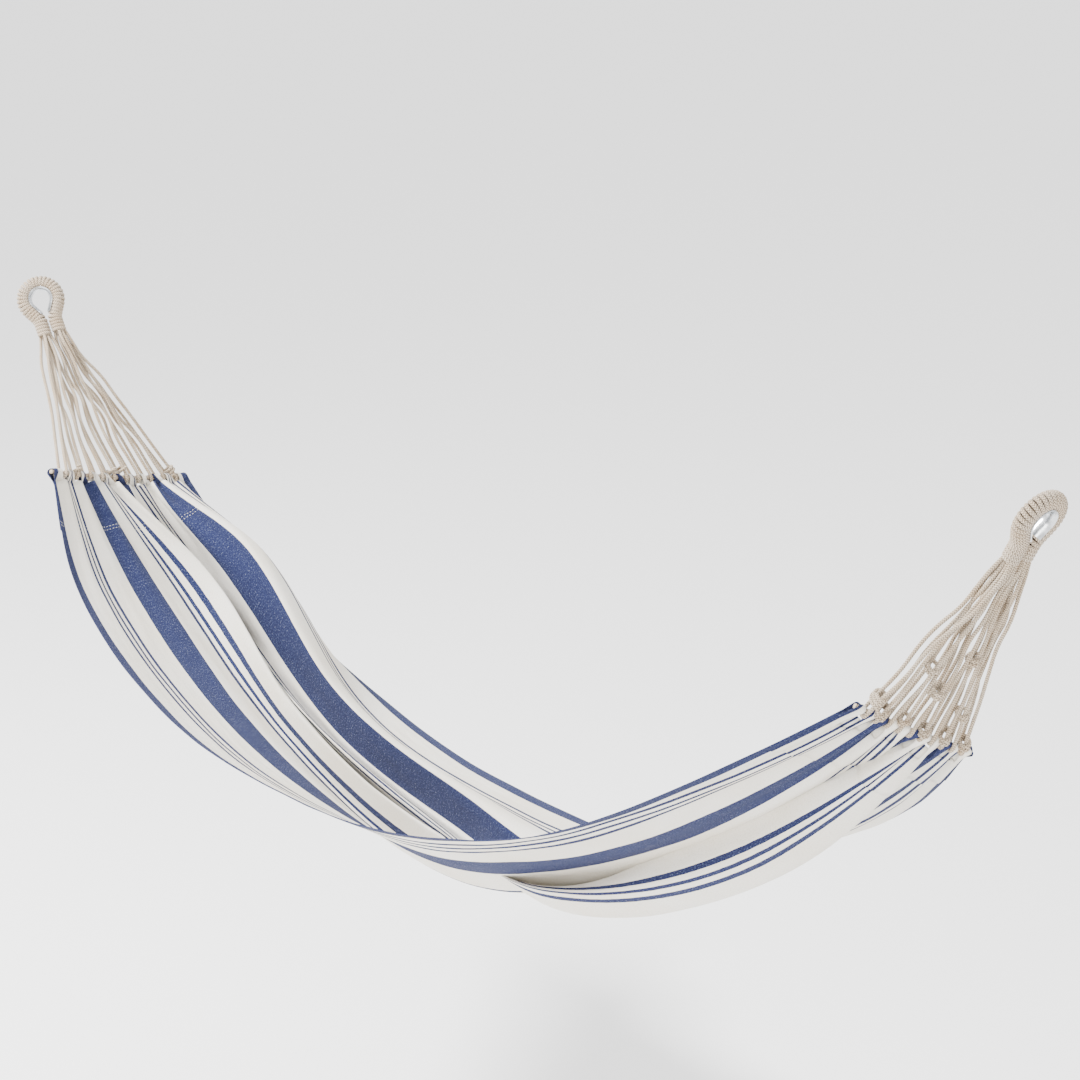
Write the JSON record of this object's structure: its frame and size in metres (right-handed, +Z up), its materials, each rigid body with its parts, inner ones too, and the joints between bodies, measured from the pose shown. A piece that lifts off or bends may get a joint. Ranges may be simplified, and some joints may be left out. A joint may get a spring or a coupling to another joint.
{
  "type": "rope hammock",
  "caption": "Striped canvas hammock bed hung by fans of cotton ropes from two whipped thimble eyes, without spreader bars.",
  "frame": {"origin": "where the left hook bears on the inside of the left thimble's crown", "axes": "+X from the left hook to the right hook, +Z up, -Y towards the side of the hammock that is seen first"},
  "size_m": [2.1118, 0.5227, 0.8074],
  "materials": {
    "thimble_steel": "bright galvanised",
    "rope": "braided cotton",
    "whipping": "braided cotton, tightly wound",
    "hem_cord": "braided cotton",
    "canvas_hem": "striped cotton canvas, turned hem",
    "canvas": "striped cotton canvas, plain weave"
  },
  "bodies": {
    "eyes": {"left_thimble": "thimble_steel", "left_eye_core": "rope", "left_eye_whipping": "whipping", "right_thimble": "thimble_steel", "right_eye_core": "rope", "right_eye_whipping": "whipping"},
    "bed": {"left_hem_cord": "hem_cord", "left_hem_sleeves": "canvas_hem", "right_hem_cord": "hem_cord", "right_hem_sleeves": "canvas_hem", "left_rope_01": "rope", "left_rope_02": "rope", "left_rope_03": "rope", "left_rope_04": "rope", "left_rope_05": "rope", "left_rope_06": "rope", "left_rope_07": "rope", "left_rope_08": "rope", "left_rope_09": "rope", "left_rope_10": "rope", "right_rope_01": "rope", "right_rope_02": "rope", "right_rope_03": "rope", "right_rope_04": "rope", "right_rope_05": "rope", "right_rope_06": "rope", "right_rope_07": "rope", "right_rope_08": "rope", "right_rope_09": "rope", "right_rope_10": "rope", "canvas_bed": "canvas"}
  },
  "joints": [
    {"name": "bed_swing", "type": "hinge", "parent": "eyes", "child": "bed", "pos_m": [0.0365, 0, -0.0686], "axis": [1, 0, 0], "range_deg": [-25, 25]}
  ]
}
